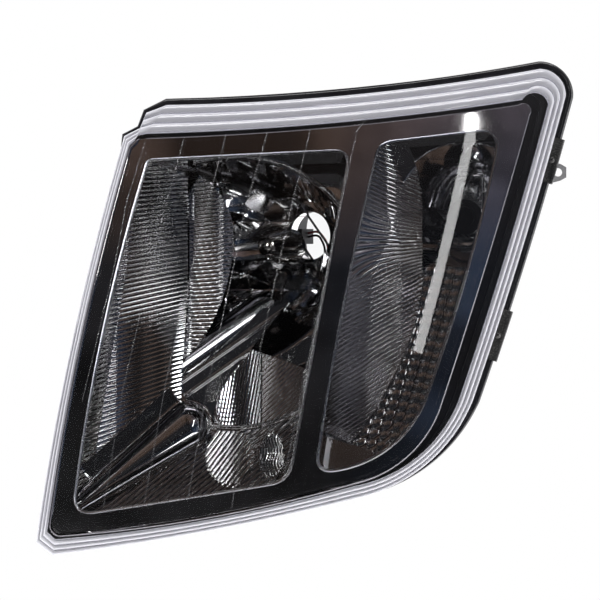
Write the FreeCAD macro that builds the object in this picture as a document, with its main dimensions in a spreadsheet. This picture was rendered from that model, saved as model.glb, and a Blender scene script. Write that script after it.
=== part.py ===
import FreeCAD, Part
import math
import os
import Sketcher

# Left-hand van headlamp. Millimetres, +Z up, the lens faces -Y, +X is the outer side.
# The pieces are laid out from the middle of the flange plane, and each one's Placement
# then moves it so that the origin is the hole of the side fixing tab.

Vector = FreeCAD.Vector
document = FreeCAD.newDocument("Headlamp")
sheet = document.addObject("Spreadsheet::Sheet", "Sizes")

# ---------------------------------------------------------------- driving dimensions

DRIVING = {
    # side fixing hole, the part's origin
    "datum_x": 202, "datum_y": 18, "datum_z": 100,
    # outline of the lens edge, and of the trim panel inside it
    "lens_step_low_x": -136, "lens_step_low_z": 127, "trim_step_low_x": -131, "trim_step_low_z": 118,
    "lens_step_in_x": -124, "lens_step_in_z": 133, "trim_step_in_x": -128.5, "trim_step_in_z": 121,
    "lens_step_out_x": -119, "lens_step_out_z": 145, "trim_step_out_x": -126, "trim_step_out_z": 124,
    "lens_step_top_x": -103, "lens_step_top_z": 151, "trim_step_top_x": -120, "trim_step_top_z": 124.5,
    "lens_brow_x": 40, "lens_brow_z": 160, "trim_brow_x": 35, "trim_brow_z": 134,
    "lens_brow_end_x": 174, "lens_brow_end_z": 178, "trim_brow_end_x": 170, "trim_brow_end_z": 151,
    "lens_crest_x": 195, "lens_crest_z": 172, "trim_crest_x": 177, "trim_crest_z": 151,
    "lens_cheek_top_x": 200, "lens_cheek_top_z": 151, "trim_cheek_top_x": 178, "trim_cheek_top_z": 144,
    "lens_cheek_x": 167, "lens_cheek_z": 25, "trim_cheek_x": 143, "trim_cheek_z": 25,
    "lens_cheek_end_x": 134, "lens_cheek_end_z": -78, "trim_cheek_end_x": 110, "trim_cheek_end_z": -78,
    "lens_jaw_x": 110, "lens_jaw_z": -116, "trim_jaw_x": 90, "trim_jaw_z": -114,
    "lens_jaw_end_x": 43, "lens_jaw_end_z": -154, "trim_jaw_end_x": 42, "trim_jaw_end_z": -142,
    "lens_chin_x": -77, "lens_chin_z": -180, "trim_chin_x": -75, "trim_chin_z": -169,
    "lens_chin_end_x": -192, "lens_chin_end_z": -198, "trim_chin_end_x": -189, "trim_chin_end_z": -183,
    "lens_toe_x": -205, "lens_toe_z": -188, "trim_toe_x": -194, "trim_toe_z": -178,
    "lens_inner_x": -176, "lens_inner_z": -30, "trim_inner_x": -168, "trim_inner_z": -30,
    # curvature of the front
    "front_radius": 1100, "crown_x": -60, "lens_rise": 80, "lens_wall": 3,
    "second_step": 8, "third_step": 18, "trim_drop": 12, "trim_wall": 2.5,
    # corners of the two windows in the trim panel
    "main_top_in_x": -118, "main_top_in_z": 109, "main_top_out_x": 40, "main_top_out_z": 117,
    "main_low_out_x": -8, "main_low_out_z": -141, "main_low_in_x": -177, "main_low_in_z": -168,
    "main_side_x": -155, "main_side_z": -35,
    "signal_top_in_x": 58, "signal_top_in_z": 125, "signal_top_out_x": 157, "signal_top_out_z": 134,
    "signal_cheek_x": 125, "signal_cheek_z": 4, "signal_jaw_x": 97, "signal_jaw_z": -80,
    "signal_sweep_x": 68, "signal_sweep_z": -116,
    "signal_low_out_x": 24, "signal_low_out_z": -133, "signal_low_in_x": 11, "signal_low_in_z": -135,
    "window_back": 32,
    # flange, groove and shell of the housing
    "lip_shift": 6, "lip_front": 10, "flange_back": 15, "groove_floor": 12, "foot_end": 9,
    "shell_radius": 400, "shell_centre_x": -10, "shell_depth": 140, "shell_wall": 3,
    # bulb seat, and the neck behind it; the lamp looks this far to the inner side
    "look_angle": 35, "seat_x": 13, "seat_y": 104, "seat_z": 51,
    "seat_hole": 19, "seat_ring": 26, "seat_thick": 6,
    "neck_radius": 60, "neck_wall": 4, "neck_end": 66, "cover_reach": 68,
    # reflectors
    "focal_length": 28, "reflector_front": 20, "reflector_floor": 20, "reflector_wall": 3,
    "crease_x": -92, "main_margin": 6, "signal_margin": 5,
    "signal_focal": 20, "signal_seat_x": 129.5, "signal_seat_y": 50, "signal_seat_z": 65.5,
    "signal_hole": 14,
    # aiming points: pivot ball, and the arms to the two moving balls
    "pivot_x": -130, "pivot_y": 92, "pivot_z": -60, "lift_arm": 110, "swivel_arm": 100,
    "ball_radius": 5, "ball_gap": 0.3,
    "fit_gap": 0.05,
}

for row, (name, number) in enumerate(DRIVING.items(), start=1):
    sheet.set(f"A{row}", name)
    sheet.set(f"B{row}", str(number))
    sheet.setAlias(f"B{row}", name)
document.recompute()


class Size:
    """A number together with the sheet formula that it comes from."""

    def __init__(self, number, formula):
        self.number = float(number)
        self.formula = formula

    def __add__(self, other):
        other = as_size(other)
        return Size(self.number + other.number, f"({self.formula} + {other.formula})")

    def __sub__(self, other):
        other = as_size(other)
        return Size(self.number - other.number, f"({self.formula} - {other.formula})")

    def __mul__(self, other):
        other = as_size(other)
        return Size(self.number * other.number, f"({self.formula} * {other.formula})")

    def __radd__(self, other):
        return as_size(other) + self

    def __rsub__(self, other):
        return as_size(other) - self

    def __neg__(self):
        return Size(-self.number, f"(0 - {self.formula})")


def as_size(value):
    """Let a plain number stand in a formula."""
    if isinstance(value, Size):
        return value
    if value < 0:
        return Size(value, f"(0 - {-value})")
    return Size(value, str(value))


def size(name):
    """The named cell of the sheet."""
    return Size(sheet.get(name), f"Sizes.{name}")


def bind(item, name, value):
    """Set a property and tie it to its formula."""
    setattr(item, name, as_size(value).number)
    item.setExpression(name, as_size(value).formula)


# ---------------------------------------------------------------- frames

FORWARD_Y = FreeCAD.Rotation(Vector(1, 0, 0), 90)
ALONG_Y = FreeCAD.Rotation(Vector(1, 0, 0), -90)
ALONG_X = FreeCAD.Rotation(Vector(0, 1, 0), 90)
# Seat frame: local Z leaves the bulb seat rearwards, local Y is up.
SEAT = FreeCAD.Rotation(Vector(0, 0, 1), -size("look_angle").number).multiply(
    FreeCAD.Rotation(Vector(-1, 0, 0), Vector(0, 0, 1), Vector(0, 1, 0), "ZXY"))
NO_TURN = FreeCAD.Rotation()


def put(item, x=0, y=0, z=0, turn=NO_TURN, datum=True):
    """Place an item at a point of the lamp; finished pieces are moved to the datum as well."""
    item.Placement = FreeCAD.Placement(Vector(0, 0, 0), turn)
    for axis, value in (("x", x), ("y", y), ("z", z)):
        place = as_size(value)
        if datum:
            place = place - size(f"datum_{axis}")
        setattr(item.Placement.Base, axis, place.number)
        item.setExpression(f"Placement.Base.{axis}", place.formula)
    return item


def seat_point(x, y, z):
    """A point of the seat frame, in the lamp's own coordinates."""
    turned_point = SEAT.multVec(Vector(x, y, z))
    return (size("seat_x") + turned_point.x, size("seat_y") + turned_point.y, size("seat_z") + turned_point.z)


# ---------------------------------------------------------------- drawing helpers

def draw(sketch, corners):
    """Draw a closed polygon in a sketch, every corner tied to its formula."""
    count = len(corners)
    for index in range(count):
        after = corners[(index + 1) % count]
        sketch.addGeometry(Part.LineSegment(flat_point(corners[index]), flat_point(after)), False)
    for index in range(count):
        sketch.addConstraint(Sketcher.Constraint("Coincident", index, 2, (index + 1) % count, 1))
    for index, corner in enumerate(corners):
        tie_point(sketch, index, 1, corner)
    return sketch


def tie_point(sketch, edge, end, place):
    """Hold one point of a sketch at its two formulas."""
    for kind, value in zip(("DistanceX", "DistanceY"), place):
        value = as_size(value)
        number = sketch.addConstraint(Sketcher.Constraint(kind, -1, 1, edge, end, value.number))
        sketch.setExpression(f"Constraints[{number}]", value.formula)


def wire(start, path):
    """The same outline as one wire, drawn directly: its arcs are too flat for a sketch's solver."""
    edges = []
    here = flat_point(start)
    for step in path:
        there = flat_point(step[-1])
        if len(step) == 1:
            edges.append(Part.LineSegment(here, there).toShape())
        else:
            edges.append(Part.Arc(here, flat_point(step[0]), there).toShape())
        here = there
    return Part.Wire(edges)


def flat_point(place):
    return Vector(as_size(place[0]).number, as_size(place[1]).number, 0)


def prism(name, outline, front, back):
    """Push an outline of the flange plane from one depth to another."""
    profile = document.addObject("Part::Feature", name + "_outline")
    profile.Shape = wire(*outline)
    profile.Placement = FreeCAD.Placement(Vector(0, 0, 0), FORWARD_Y)
    solid = document.addObject("Part::Extrusion", name)
    solid.Base = profile
    solid.DirMode = "Custom"
    solid.Dir = Vector(0, 1, 0)
    solid.Solid = True
    bind(solid, "LengthFwd", back)
    bind(solid, "LengthRev", -as_size(front))
    return solid


def dome(name, radius, x, y, z):
    """A ball, for the curved front and back faces."""
    solid = document.addObject("Part::Sphere", name)
    bind(solid, "Radius", radius)
    return put(solid, x, y, z, datum=False)


def rod(name, radius, length, x, y, z, turn=ALONG_Y):
    """A round bar that starts at a point and runs along its frame's Z."""
    solid = document.addObject("Part::Cylinder", name)
    bind(solid, "Radius", radius)
    bind(solid, "Height", length)
    return put(solid, x, y, z, turn, datum=False)


def brick(name, sizes, x, y, z, turn=NO_TURN):
    """A block that starts at a point."""
    solid = document.addObject("Part::Box", name)
    for key, value in zip(("Length", "Width", "Height"), sizes):
        bind(solid, key, value)
    return put(solid, x, y, z, turn, datum=False)


def cut(name, base, *tools):
    tool = tools[0] if len(tools) == 1 else fuse(name + "_tools", *tools)
    solid = document.addObject("Part::Cut", name)
    solid.Base = base
    solid.Tool = tool
    return solid


def fuse(name, *items):
    solid = document.addObject("Part::MultiFuse", name)
    solid.Shapes = list(items)
    return solid


def common(name, *items):
    solid = document.addObject("Part::MultiCommon", name)
    solid.Shapes = list(items)
    return solid


def origin_plane(body, role):
    return [plane for plane in body.Origin.OriginFeatures if plane.Role == role][0]


def body_sketch(body, name, role, corners):
    sketch = body.newObject("Sketcher::SketchObject", name)
    sketch.AttachmentSupport = [(origin_plane(body, role), "")]
    sketch.MapMode = "FlatFace"
    return draw(sketch, corners)


def turned(name, *points):
    """A turned piece: half profile of (radius, height) points, spun about the body's Z."""
    body = document.addObject("PartDesign::Body", name)
    sketch = body_sketch(body, name + "_profile", "XZ_Plane", points)
    spin = body.newObject("PartDesign::Revolution", name + "_turned")
    spin.Profile = sketch
    spin.ReferenceAxis = (sketch, ["V_Axis"])
    spin.Angle = 360
    return body


def padded(name, length, *points):
    """A flat piece: an outline in the body's XY plane, raised along Z."""
    body = document.addObject("PartDesign::Body", name)
    sketch = body_sketch(body, name + "_profile", "XY_Plane", points)
    pad = body.newObject("PartDesign::Pad", name + "_pad")
    pad.Profile = sketch
    bind(pad, "Length", length)
    return body


finished = []


def finish(item, label, *place, turn=NO_TURN):
    """Name a finished sub-part and place it."""
    item.Label = label
    put(item, *place, turn=turn)
    finished.append(item)
    return item


# ---------------------------------------------------------------- outline of the lamp

def edge_point(name, inset):
    """A point between the lens edge (inset 0) and the edge of the trim panel (inset 1)."""
    place = []
    for axis in "xz":
        lens = size(f"lens_{name}_{axis}")
        trim = size(f"trim_{name}_{axis}")
        place.append(lens + (trim - lens) * inset)
    return tuple(place)


def lamp_outline(inset, shift=0):
    """The lamp's outline, drawn in from its edge by a share of the margin round the trim."""
    def point(name):
        x, z = edge_point(name, inset)
        return (x + shift, z + shift)
    path = [(point(name),) for name in ("step_in", "step_out", "step_top")]
    path.append((point("brow"), point("brow_end")))
    path.append((point("crest"), point("cheek_top")))
    path.append((point("cheek"), point("cheek_end")))
    path.append((point("jaw"), point("jaw_end")))
    path.append((point("chin"), point("chin_end")))
    path.append((point("toe"),))
    path.append((point("inner"), point("step_low")))
    return point("step_low"), path


def main_window(grow):
    """The headlamp window of the trim panel, grown on every side."""
    def point(name, side_x, side_z):
        x = size(f"main_{name}_x") + as_size(grow) * side_x
        z = size(f"main_{name}_z") + as_size(grow) * side_z
        return x, z
    start = point("top_in", -1, 1)
    path = [(point("top_out", 1, 1),),
            (point("low_out", 1, -1),),
            (point("low_in", -1, -1),),
            (point("side", -1, 0), start)]
    return start, path


def signal_window(grow):
    """The indicator window of the trim panel, grown on every side."""
    def point(name, side_x, side_z):
        return (size(f"signal_{name}_x") + as_size(grow) * side_x,
                size(f"signal_{name}_z") + as_size(grow) * side_z)
    start = point("top_in", -1, 1)
    path = [(point("top_out", 1, 1),),
            (point("cheek", 1, 0), point("jaw", 1, -0.3)),
            (point("sweep", 0.7, -0.7), point("low_out", 0.3, -1)),
            (point("low_in", -1, -1),),
            (start,)]
    return start, path


def front_ball(name, rise, radius):
    """The ball whose surface is the lamp's curved front, at a height in front of the flange."""
    return dome(name, radius, size("crown_x"), as_size(radius) - rise, 0)


# ---------------------------------------------------------------- lens

LENS_STEPS = (("face", 0.72, 0), ("second", 0.36, size("second_step")), ("third", 0, size("third_step")))
LENS_BACK = -1
WALL_SHARE = 0.2
FOOT_OUTER = 0.25
FOOT_INNER = 0.40
REACH = 100


def build_lens():
    outer = []
    inner = []
    for name, inset, drop in LENS_STEPS:
        rise = size("lens_rise") - drop
        outer.append(common("lens_outer_" + name,
                            prism("lens_plug_" + name, lamp_outline(inset), -REACH, LENS_BACK),
                            front_ball("lens_ball_" + name, rise, size("front_radius"))))
        core = prism("lens_core_" + name, lamp_outline(inset + WALL_SHARE), -REACH, LENS_BACK + 1)
        inner.append(common("lens_inner_" + name, core,
                            front_ball("lens_bore_" + name, rise - size("lens_wall"), size("front_radius"))))
    shell = cut("lens_shell", fuse("lens_solid", *outer), *inner)
    web = prism("lens_web", lamp_outline(0), LENS_BACK - 3, LENS_BACK)
    foot = prism("lens_foot", lamp_outline(FOOT_OUTER), LENS_BACK - 3, size("foot_end"))
    hollow = prism("lens_hollow", lamp_outline(FOOT_INNER), LENS_BACK - 4, size("foot_end") + 1)
    lens = cut("lens", fuse("lens_with_foot", shell, web, foot), hollow)
    finish(lens, "lens_cover")


def build_seal():
    gap = 0.03
    ring = cut("seal",
               prism("seal_outer", lamp_outline(FOOT_OUTER - gap), size("foot_end"), size("groove_floor")),
               prism("seal_inner", lamp_outline(FOOT_INNER + gap), 0, REACH))
    finish(ring, "lens_seal")


# ---------------------------------------------------------------- housing

SHELL_OUTER = 0.44
SHELL_INNER = 0.62
LEDGE_INNER = 1.16


def shell_ball(name, less):
    radius = size("shell_radius") - less
    return dome(name, radius, size("shell_centre_x"), size("shell_depth") - size("shell_radius"), 0)


MOTOR_Y = 130
SOCKET_Y = 126
PORTS = {
    # name: x, z, boss radius, boss start, boss end, hole radius
    "pivot": (size("pivot_x"), size("pivot_z"), 9, 106, 122, 4),
    "lift": (size("pivot_x"), size("pivot_z") + size("lift_arm"), 14, 108, MOTOR_Y, 8),
    "swivel": (size("pivot_x") + size("swivel_arm"), size("pivot_z"), 11, 122, 144, 5),
    "signal": (size("signal_seat_x"), size("signal_seat_z"), 24.5, 86, 120, 21),
    "socket": (-40, -128, 0, 0, 0, 9),
    "breather": (45, 128, 9, 104, 120, 3),
}
LUGS = (("upper", -75, 100, 112, 128), ("lower", -120, -128, 92, 108))
TAB_SCREW_Y = 34
NECK_END = size("neck_end").number
COVER_REACH = size("cover_reach").number
HINGE_LEVEL = NECK_END + 1.5


def build_housing():
    flange_back = size("flange_back")
    collar = fuse("flange_solid",
                  prism("lip_solid", lamp_outline(0, size("lip_shift")), -size("lip_front"), flange_back),
                  prism("rim_solid", lamp_outline(0.06), 1, flange_back))
    clear = prism("lens_room", lamp_outline(-0.05), -REACH, 3)
    groove = cut("groove", prism("groove_outer", lamp_outline(0.2), 0, size("groove_floor")),
                 prism("groove_core", lamp_outline(0.46), -1, size("groove_floor") + 1))
    flange = cut("flange", collar, clear, groove)
    shell = common("shell_outer", prism("shell_plug", lamp_outline(SHELL_OUTER), 10, 2 * REACH),
                   shell_ball("shell_back", 0))
    neck = rod("neck_outer", size("neck_radius"), size("neck_end") + 30, *seat_point(0, 0, -30), SEAT)
    bosses = []
    for name, (x, z, radius, start, back, hole) in PORTS.items():
        if radius:
            bosses.append(rod(name + "_boss", radius, back - start, x, start, z))
    for name, x, z, start, back in LUGS:
        bosses.append(rod(name + "_lug", 10, back - start + 8, x, start - 8, z))
    bosses.append(rod("tab_boss", 8, 23, 160, TAB_SCREW_Y, size("datum_z"), ALONG_X))
    bosses.append(brick("socket_pad", (40, SOCKET_Y - 108, 30), -60, 108, -143))
    ears = []
    for name, offset in (("ear_inner", 12.5), ("ear_outer", -17.5)):
        ears.append(brick(name, (5, 18, 10.5), *seat_point(offset, -75, NECK_END - 10.5), SEAT))
        ears.append(brick(name + "_tip", (5, 10.5, 6), *seat_point(offset, -74, NECK_END - 1), SEAT))
    solid = fuse("housing_solid", flange, shell, neck, *bosses, *ears)
    hollow = common("shell_inner", prism("shell_core", lamp_outline(SHELL_INNER), -REACH, 2 * REACH),
                    shell_ball("shell_front", size("shell_wall")))
    ledge = cut("ledge",
                prism("ledge_outer", lamp_outline(SHELL_INNER - 0.04), size("groove_floor"), flange_back),
                prism("ledge_inner", lamp_outline(LEDGE_INNER), 0, REACH))
    bore = rod("neck_bore", size("neck_radius") - size("neck_wall"), size("neck_end") + 22,
               *seat_point(0, 0, -20), SEAT)
    holes = [rod(name + "_hole", hole, 90, x, 80, z) for name, (x, z, r, s, b, hole) in PORTS.items()]
    holes += [rod(name + "_lug_hole", 6 + 0.05, 17, x, back - 16, z) for name, x, z, start, back in LUGS]
    holes.append(rod("tab_screw_hole", 2, 18, 167, TAB_SCREW_Y, size("datum_z"), ALONG_X))
    hinge_place = seat_point(-22, -COVER_REACH, HINGE_LEVEL)
    holes.append(rod("hinge_hole", 1.5, 44, *hinge_place, SEAT.multiply(ALONG_X)))
    # what stands inside the shell and survives the hollow: the stems of bosses and lugs
    stems = [rod(name + "_lug_stem", 10, 14, x, back - 22, z) for name, x, z, start, back in LUGS]
    stems.append(rod("tab_stem", 6, 23, 160, TAB_SCREW_Y, size("datum_z"), ALONG_X))
    open_shell = cut("open_shell", solid, hollow)
    whole = fuse("housing_whole", open_shell, ledge, *stems)
    rib = brick("connector_rib", (4, 8, 16), *seat_point(54.6, -4, 38), SEAT)
    finish(fuse("housing_and_rib", cut("housing_cut", whole, bore, *holes), rib), "housing")


# ---------------------------------------------------------------- trim panel

def build_bezel():
    rise = size("lens_rise") - size("trim_drop")
    inner_rise = rise - size("trim_wall")
    cap = common("trim_cap", prism("trim_plug", lamp_outline(1), -REACH, size("groove_floor")),
                 front_ball("trim_front", rise, size("front_radius")))
    core = common("trim_core", prism("trim_room", lamp_outline(1.1), -REACH, size("groove_floor") + 1),
                  front_ball("trim_rear", inner_rise, size("front_radius")))
    panel = cut("trim_panel", cap, core)
    frame_back = -size("window_back")
    frames = common("trim_frames",
                    fuse("trim_frame_plugs",
                         prism("main_frame", main_window(size("trim_wall")), -REACH, frame_back),
                         prism("signal_frame", signal_window(size("trim_wall")), -REACH, frame_back)),
                    front_ball("frame_front", rise, size("front_radius")))
    bezel = cut("trim", fuse("trim_solid", panel, frames),
                prism("main_opening", main_window(0), -REACH, 0),
                prism("signal_opening", signal_window(0), -REACH, 0))
    finish(bezel, "bezel")


# ---------------------------------------------------------------- reflectors

def paraboloid(name, focal, depth, thickness, base, turn):
    """A solid bowl about local -Z from its apex. No primitive has this shape, so its curve is drawn here."""
    rim = 2 * (focal * depth) ** 0.5
    wall = thickness
    curve = Part.BezierCurve()
    curve.setPoles([Vector(0, 0, wall), Vector(rim / 2 + wall / 2, 0, wall), Vector(rim + wall, 0, -depth)])
    edge = curve.toShape()
    top = Part.makeLine(Vector(rim + wall, 0, -depth), Vector(0, 0, -depth))
    axis = Part.makeLine(Vector(0, 0, -depth), Vector(0, 0, wall))
    face = Part.Face(Part.Wire([edge, top, axis]))
    solid = document.addObject("Part::Feature", name)
    solid.Shape = face.revolve(Vector(0, 0, 0), Vector(0, 0, 1), 360)
    solid.Placement = FreeCAD.Placement(base, turn)
    return solid


BOWL_DEPTH = 150
SIDE_LIGHT = (20, -33)


def build_main_reflector():
    wall = size("reflector_wall")
    front = -size("reflector_front")
    floor = size("reflector_floor")
    seat = Vector(*(value.number for value in seat_point(0, 0, -size("seat_thick").number + 1)))
    focal = size("focal_length").number
    outer_bowl = common("bowl_outer_side",
                        paraboloid("bowl_outer", focal, BOWL_DEPTH, wall.number, seat, SEAT),
                        brick("bowl_outer_limit", (300, 400, 400), size("crease_x") - wall, -200, -200))
    inner_bowl = common("bowl_inner_side",
                        paraboloid("bowl_inner", focal, BOWL_DEPTH, 0, seat, SEAT),
                        brick("bowl_inner_limit", (300, 400, 400), size("crease_x"), -200, -200))
    outer = common("main_outer", prism("main_outer_plug", main_window(size("main_margin")), front, REACH * 2),
                   fuse("main_outer_body", outer_bowl,
                        brick("main_slab", (400, 100, 400), -200, -100 + floor + wall, -200)))
    inner = common("main_inner",
                   prism("main_inner_plug", main_window(size("main_margin") - wall), front - 1, REACH * 2),
                   fuse("main_inner_body", inner_bowl,
                        brick("main_room", (400, 100, 400), -200, -100 + floor, -200)))
    ring = rod("seat_boss", size("seat_ring"), size("seat_thick") + 6, *seat_point(0, 0, -12), SEAT)
    side_boss = rod("side_light_boss", 10, 20, *seat_point(*SIDE_LIGHT, -22), SEAT)
    posts = []
    for name, x, z in aim_points():
        posts.append(rod(name + "_post", 5, size("pivot_y") - 9.5 - floor, x, floor + 0.5, z))
    hooks = [brick(name, (4, 7, 21.5), *seat_point(x, y, -16), SEAT.multiply(CLIP_TURN))
             for name, (x, y) in CLIP_HOOKS.items()]
    solid = fuse("reflector_solid", cut("reflector_shell", outer, inner),
                 cut("reflector_bosses", fuse("boss_solids", ring, side_boss, *hooks), inner_bowl), *posts)
    hole = rod("seat_hole_tool", size("seat_hole"), 60, *seat_point(0, 0, -40), SEAT)
    side_hole = rod("side_light_hole", 7.5, 60, *seat_point(*SIDE_LIGHT, -50), SEAT)
    axle_turn = SEAT.multiply(CLIP_TURN).multiply(ALONG_X)
    axle = rod("clip_axle_hole", 1.05, 50, *clip_point(-23, CLIP_HINGE, CLIP_LEVEL), axle_turn)
    finish(cut("main_reflector_cut", solid, hole, side_hole, axle), "main_reflector")


def aim_points():
    """The three ball centres: fixed pivot, levelling ball above it, swivel ball beside it."""
    return (("pivot", size("pivot_x"), size("pivot_z")),
            ("lift", size("pivot_x"), size("pivot_z") + size("lift_arm")),
            ("swivel", size("pivot_x") + size("swivel_arm"), size("pivot_z")))


def build_indicator_reflector():
    wall = size("reflector_wall")
    front = -size("reflector_front")
    apex = Vector(size("signal_seat_x").number, size("signal_seat_y").number, size("signal_seat_z").number)
    focal = size("signal_focal").number
    floor = 12
    outer = common("signal_outer",
                   prism("signal_outer_plug", signal_window(size("signal_margin")), front, REACH),
                   fuse("signal_outer_body",
                        paraboloid("signal_bowl_outer", focal, 100, wall.number, apex, ALONG_Y),
                        brick("signal_slab", (400, 100, 400), -200, -100 + floor + wall.number, -200)))
    inner = common("signal_inner",
                   prism("signal_inner_plug", signal_window(size("signal_margin") - wall), front - 1, REACH),
                   fuse("signal_inner_body", paraboloid("signal_bowl_inner", focal, 100, 0, apex, ALONG_Y),
                        brick("signal_room", (400, 100, 400), -200, -100 + floor, -200)))
    seat = (size("signal_seat_x"), size("signal_seat_y"), size("signal_seat_z"))
    neck = rod("signal_neck", size("signal_hole") + 3, 18, seat[0], seat[1] - 2, seat[2])
    legs = [rod(f"signal_leg_{index}", 4, reach, x, floor + 1, z)
            for index, (x, z, reach) in enumerate(SIGNAL_LEGS)]
    hole = rod("signal_hole_tool", size("signal_hole"), 60, seat[0], 20, seat[2])
    solid = fuse("signal_solid", cut("signal_shell", outer, inner), neck, *legs)
    finish(cut("signal_cut", solid, hole), "indicator_reflector")


SIGNAL_LEGS = ((70, 110, 98.3), (60, -90, 105.9))


# ---------------------------------------------------------------- bulb seat hardware

CLIP_TURN = FreeCAD.Rotation(Vector(0, 0, 1), -40)
CLIP_HINGE = -30
CLIP_LEVEL = 2


def clip_point(x, y, z):
    """A point of the clip's own frame, which is the seat frame turned about the bulb's axis."""
    turned_point = CLIP_TURN.multVec(Vector(x, y, z))
    return seat_point(turned_point.x, turned_point.y, turned_point.z)


def clip_corner(x, y):
    turned_point = CLIP_TURN.multVec(Vector(x, y, 0))
    return turned_point.x, turned_point.y


CLIP_HOOKS = {
    "clip_hook_inner": clip_corner(-13, CLIP_HINGE - 3),
    "clip_hook_outer": clip_corner(20.5, CLIP_HINGE - 3),
}


def tube(name, points, radius, fixed_bend=None):
    """A wire or lead: straight runs joined by tangent arcs, each as large as its runs allow or as given."""
    edges = []
    here = points[0]
    for before, corner, after in zip(points, points[1:], points[2:]):
        run_in = corner - before
        run_out = after - corner
        half_turn = run_in.getAngle(run_out) / 2
        reach = 0.45 * min(run_in.Length, run_out.Length)
        if fixed_bend:
            reach = fixed_bend * math.tan(half_turn)
        bend = reach / math.tan(half_turn)
        first = corner - run_in.normalize() * reach
        last = corner + run_out.normalize() * reach
        inward = (run_out - run_in).normalize()
        middle = corner + inward * (bend / math.cos(half_turn) - bend)
        edges.append(Part.LineSegment(here, first).toShape())
        edges.append(Part.Arc(first, middle, last).toShape())
        here = last
    edges.append(Part.LineSegment(here, points[-1]).toShape())
    path = Part.Wire(edges)
    start = points[1] - points[0]
    ring = Part.Wire([Part.Circle(points[0], start, radius).toShape()])
    solid = document.addObject("Part::Feature", name)
    solid.Shape = path.makePipeShell([ring], True, False)
    return solid


def build_clip():
    """A wire bail: an axle in two hooks, two arms over the bulb's collar and a bar across their ends."""
    near = CLIP_HINGE
    far = 24
    corners = ((-18, near), (-3, near), (-3, far), (16, far), (16, near), (24, near))
    points = [lamp_vector(clip_point(x, y, CLIP_LEVEL)) for x, y in corners]
    finish(tube("clip", points, 0.9, 2.5), "bulb_clip")


def build_shield():
    """The glare shield: a cup in front of the seat, on a foot that is riveted to the bowl."""
    cup = turned("glare_cup", (0, -24), (7, -23), (11.5, -19), (12.5, -12), (12.5, 0), (11.5, 0), (11.5, -12),
                 (10.6, -18.4), (6.6, -22), (0, -23))
    finish(cup, "glare_shield", *seat_point(0, -8.5, -46), turn=SEAT)
    stalk = padded("shield_stalk", 42, (-3, -1.5), (3, -1.5), (3, 0), (-3, 0))
    finish(stalk, "glare_shield_stalk", *seat_point(0, -21.02, -51.6), turn=SEAT)


def build_side_light():
    place = seat_point(*SIDE_LIGHT, 0)
    holder = turned("side_holder", (0, -6), (2.4, -6), (2.4, -16), (7.4, -16), (7.4, -1.7), (10, -1.7),
                    (10, 2), (6, 2), (6, 10), (0, 10))
    finish(holder, "side_light_holder", *place, turn=SEAT)
    bulb = turned("side_bulb", (0, -6.2), (2.2, -6.2), (2.2, -16.3), (5, -18), (5, -32), (3.5, -36),
                  (0, -37.5))
    finish(bulb, "side_light_bulb", *place, turn=SEAT)


def lamp_vector(point):
    return Vector(*(as_size(value).number for value in point))


# ---------------------------------------------------------------- aiming gear

SHANK = 3


def build_pivot():
    x, y, z = size("pivot_x"), size("pivot_y"), size("pivot_z")
    ball = size("ball_radius")
    stud = fuse("pivot_stud", dome("pivot_ball", ball, x, y, z), rod("pivot_shank", SHANK, 14, x, y, z),
                rod("pivot_screw", 4 - size("fit_gap"), 17, x, y + 14, z), rod("pivot_head", 6, 4, x, 122, z))
    finish(stud, "pivot_ball_stud")
    for name, x, z in aim_points():
        gap = 0.5 if name == "pivot" else 0
        cup = rod(name + "_cup", 8.5, 14 - gap, x, y - 9 + gap, z)
        room = fuse(name + "_cup_room", dome(name + "_cup_ball", ball + size("ball_gap"), x, y, z),
                    rod(name + "_cup_mouth", SHANK + 1.2, 20, x, y, z))
        finish(cut(name + "_socket_cut", cup, room), name + "_ball_socket")


def build_levelling():
    name, x, z = aim_points()[1]
    y = size("pivot_y")
    push = fuse("push_rod_solid",
                dome("lift_ball", size("ball_radius"), x, y, z),
                rod("lift_shank", SHANK, 45, x, y, z))
    finish(push, "levelling_push_rod")
    motor = cut("motor_cut",
                fuse("motor_solid", rod("motor_can", 24, 34, x, MOTOR_Y, z),
                     brick("motor_socket", (22, 20, 16), x - 11, MOTOR_Y + 14, z - 38)),
                rod("motor_bore", SHANK + 0.4, 24, x, MOTOR_Y - 1, z),
                rod("motor_screw_hole", 3.1, 12, x, MOTOR_Y + 25, z),
                brick("motor_socket_room", (18, 16, 12), x - 9, MOTOR_Y + 20, z - 36))
    finish(motor, "levelling_motor")
    knob = turned("lift_knob", (0, 0), (3, 0), (3, 8.5), (6, 8.5), (6, 14), (0, 14))
    finish(knob, "vertical_aim_screw", x, MOTOR_Y + 26, z, turn=ALONG_Y)


def build_swivel():
    name, x, z = aim_points()[2]
    y = size("pivot_y")
    push = fuse("swivel_rod_solid", dome("swivel_ball", size("ball_radius"), x, y, z),
                rod("swivel_shank", SHANK, 52, x, y, z))
    finish(push, "horizontal_aim_rod")
    gland = turned("swivel_nut", (3.4, 0), (4.95, 0), (4.95, 16), (7, 16), (7, 20), (3.4, 20))
    finish(gland, "horizontal_aim_screw", x, 128.2, z, turn=ALONG_Y)


# ---------------------------------------------------------------- covers, holders, sockets and fixings

def build_indicator_holder():
    place = (size("signal_seat_x"), 0, size("signal_seat_z"))
    bore = size("signal_hole") - size("fit_gap")
    holder = turned("signal_holder", (8, 50), (bore, 50), (bore, 66.5), (17, 66.5), (17, 112), (20.5, 112),
                    (20.5, 120.4), (22.8, 120.4), (22.8, 123.6), (8, 123.6), (8, 130), (0, 131), (0, 62),
                    (8, 62))
    finish(holder, "indicator_holder", *place, turn=ALONG_Y)
    ring = turned("signal_ring", (17, 106), (20.6, 106), (20.6, 111.5), (17, 111.5))
    finish(ring, "indicator_holder_seal", *place, turn=ALONG_Y)


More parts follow.
